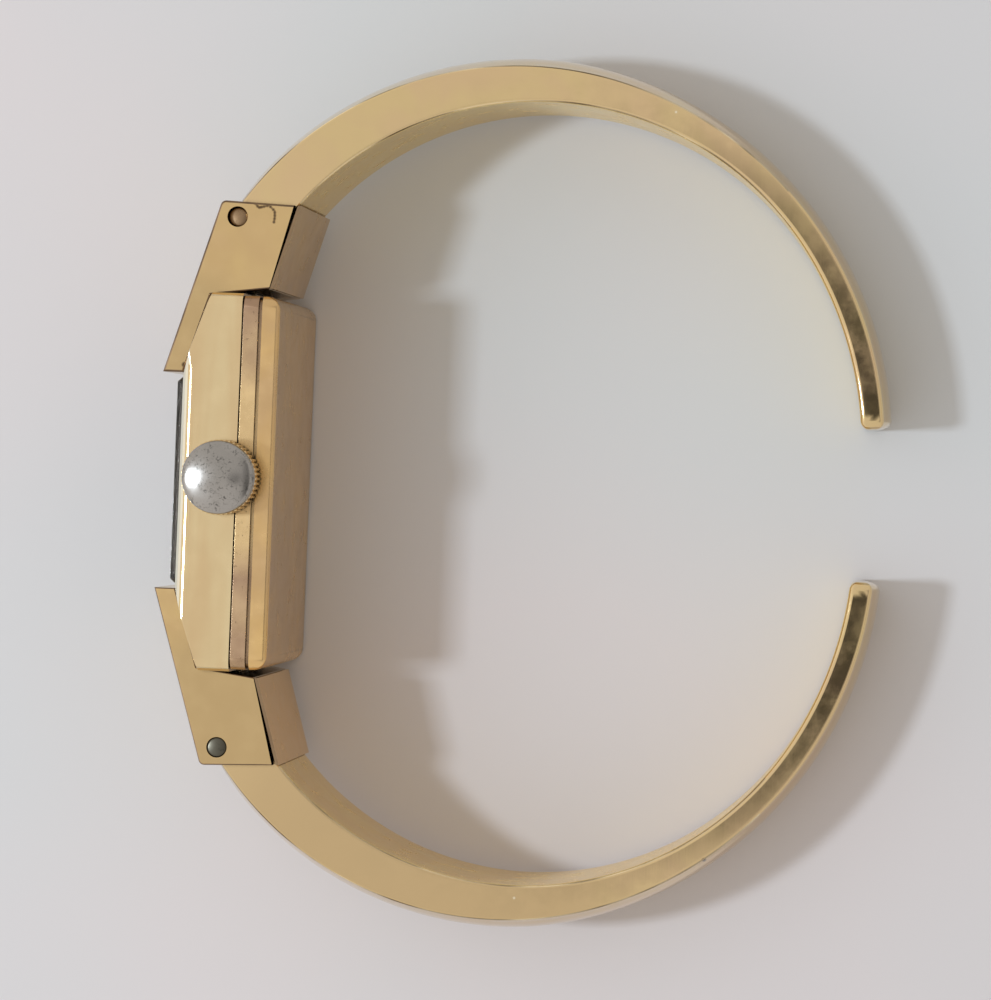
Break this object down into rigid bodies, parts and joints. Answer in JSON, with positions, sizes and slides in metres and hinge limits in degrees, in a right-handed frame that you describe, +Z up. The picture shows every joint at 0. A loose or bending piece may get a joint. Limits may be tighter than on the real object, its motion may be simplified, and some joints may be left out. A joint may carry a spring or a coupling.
{
  "type": "bangle watch",
  "caption": "Rectangular watch case on a sprung bangle: hooded end pieces with hinge pins, tapering domed arms, fluted crown and a wound movement inside.",
  "frame": {"origin": "bottom centre of the bounding box, on the surface that the watch lies on", "axes": "+Z up, the crown side; +Y towards 12 o'clock; +X from the dial through the case back to the arm tips"},
  "size_m": [0.0494, 0.0586, 0.0208],
  "materials": {
    "gold": "polished",
    "rose": "polished",
    "steel": "satin",
    "dark_steel": "worn",
    "glass": "clear",
    "rubber": "matt",
    "dial": "matt",
    "brass": "satin",
    "blued": "polished"
  },
  "bodies": {
    "case": {"front_shell": "gold", "crystal": "glass", "crystal_seal": "rubber", "middle_band": "rose", "case_back": "gold", "back_seal": "rubber", "crown_tube": "steel", "dial": "dial", "hour_markers": "gold", "movement_ring": "brass", "hood_12": "gold", "hood_6": "gold", "hood_cover_12": "gold", "hood_cover_6": "gold", "end_screws_12": "steel", "end_screws_6": "steel", "hinge_pin_12": "gold", "hinge_pin_6": "dark_steel", "arm_spring_12": "steel", "arm_spring_6": "steel", "main_plate": "brass", "barrel_bridge": "brass", "train_bridge": "brass", "balance_cock": "brass", "pallet_cock": "brass", "bridge_screws": "blued", "hairspring": "blued"},
    "arm_12": {"bracelet_arm_12": "gold"},
    "arm_6": {"bracelet_arm_6": "gold"},
    "clutch": {"sliding_clutch": "steel"},
    "crown": {"crown_body": "gold", "crown_cap": "dark_steel", "crown_seal": "rubber", "winding_stem": "steel"},
    "winding_pinion": {"winding_pinion": "steel"},
    "crown_wheel": {"crown_wheel": "steel"},
    "ratchet": {"ratchet_wheel": "steel", "barrel_arbor": "steel", "mainspring": "steel"},
    "click": {"click": "steel"},
    "barrel": {"barrel_drum": "brass"},
    "centre": {"centre_wheel": "brass"},
    "third": {"third_wheel": "brass"},
    "fourth": {"fourth_wheel": "brass"},
    "escape": {"escape_wheel": "steel"},
    "pallets": {"pallet_fork": "steel"},
    "balance": {"balance_wheel": "brass"},
    "cannon": {"cannon_pinion": "steel", "minute_hand": "gold"},
    "minute": {"minute_wheel": "brass"},
    "hour": {"hour_wheel": "brass", "hour_hand": "gold"}
  },
  "joints": [
    {"name": "arm_12_swing", "type": "hinge", "parent": "case", "child": "arm_12", "pos_m": [-0.01918, 0.0178, 0.00905], "axis": [0.1197, 0, 0.9928], "range_deg": [0, 25], "stiffness_Nm_per_rad": 0.02},
    {"name": "arm_6_swing", "type": "hinge", "parent": "case", "child": "arm_6", "pos_m": [-0.01918, -0.0178, 0.00905], "axis": [-0.1197, 0, -0.9928], "range_deg": [0, 25], "stiffness_Nm_per_rad": 0.02},
    {"name": "crown_turn", "type": "hinge", "parent": "case", "child": "clutch", "pos_m": [-0.01916, 0.0003, 0.00905], "axis": [0.1197, 0, 0.9928], "continuous": true},
    {"name": "crown_pull", "type": "slide", "parent": "clutch", "child": "crown", "axis": [0.1197, 0, 0.9928], "range_m": [0, 0.0008]},
    {"name": "winding_pinion_turn", "type": "hinge", "parent": "case", "child": "winding_pinion", "pos_m": [-0.01916, 0.0003, 0.00905], "axis": [0.1197, 0, 0.9928], "continuous": true},
    {"name": "crown_wheel_turn", "type": "hinge", "parent": "case", "child": "crown_wheel", "pos_m": [-0.01804, 0.0003, 0.01184], "axis": [-0.9928, 0, 0.1197], "continuous": true},
    {"name": "ratchet_turn", "type": "hinge", "parent": "case", "child": "ratchet", "pos_m": [-0.01832, 0.00369, 0.00955], "axis": [-0.9928, 0, 0.1197], "continuous": true},
    {"name": "click_rock", "type": "hinge", "parent": "case", "child": "click", "pos_m": [-0.0187, 0.0022, 0.00638], "axis": [-0.9928, 0, 0.1197], "range_deg": [0, 10], "stiffness_Nm_per_rad": 0.00000001},
    {"name": "fourth_turn", "type": "hinge", "parent": "case", "child": "fourth", "pos_m": [-0.01847, -0.00359, 0.00832], "axis": [-0.9928, 0, 0.1197], "continuous": true},
    {"name": "third_turn", "type": "hinge", "parent": "case", "child": "third", "pos_m": [-0.01865, -0.00193, 0.00683], "axis": [-0.9928, 0, 0.1197], "continuous": true},
    {"name": "centre_turn", "type": "hinge", "parent": "case", "child": "centre", "pos_m": [-0.01839, 0, 0.00896], "axis": [-0.9928, 0, 0.1197], "continuous": true},
    {"name": "barrel_turn", "type": "hinge", "parent": "case", "child": "barrel", "pos_m": [-0.01832, 0.00369, 0.00955], "axis": [-0.9928, 0, 0.1197], "continuous": true},
    {"name": "escape_turn", "type": "hinge", "parent": "case", "child": "escape", "pos_m": [-0.01825, -0.00419, 0.01013], "axis": [-0.9928, 0, 0.1197], "continuous": true},
    {"name": "cannon_turn", "type": "hinge", "parent": "case", "child": "cannon", "pos_m": [-0.01839, 0, 0.00896], "axis": [-0.9928, 0, 0.1197], "continuous": true},
    {"name": "minute_turn", "type": "hinge", "parent": "case", "child": "minute", "pos_m": [-0.01819, 0.00123, 0.01058], "axis": [-0.9928, 0, 0.1197], "continuous": true},
    {"name": "hour_turn", "type": "hinge", "parent": "case", "child": "hour", "pos_m": [-0.01839, 0, 0.00896], "axis": [-0.9928, 0, 0.1197], "continuous": true},
    {"name": "pallet_rock", "type": "hinge", "parent": "case", "child": "pallets", "pos_m": [-0.0181, -0.00359, 0.01139], "axis": [-0.9928, 0, 0.1197], "range_deg": [-5, 5]},
    {"name": "balance_swing", "type": "hinge", "parent": "case", "child": "balance", "pos_m": [-0.0179, -0.0033, 0.01305], "axis": [-0.9928, 0, 0.1197], "range_deg": [-270, 270], "stiffness_Nm_per_rad": 0.0000000032}
  ],
  "couplings": [
    {"joint": "winding_pinion_turn", "follows": "crown_turn", "ratio": 1},
    {"joint": "crown_wheel_turn", "follows": "crown_turn", "ratio": 0.73684},
    {"joint": "ratchet_turn", "follows": "crown_turn", "ratio": -0.47158},
    {"joint": "third_turn", "follows": "fourth_turn", "ratio": -0.13333},
    {"joint": "centre_turn", "follows": "fourth_turn", "ratio": 0.016667},
    {"joint": "barrel_turn", "follows": "fourth_turn", "ratio": -0.0035714},
    {"joint": "escape_turn", "follows": "fourth_turn", "ratio": -10},
    {"joint": "cannon_turn", "follows": "fourth_turn", "ratio": 0.016667},
    {"joint": "minute_turn", "follows": "fourth_turn", "ratio": -0.0055556},
    {"joint": "hour_turn", "follows": "fourth_turn", "ratio": 0.0013889}
  ]
}
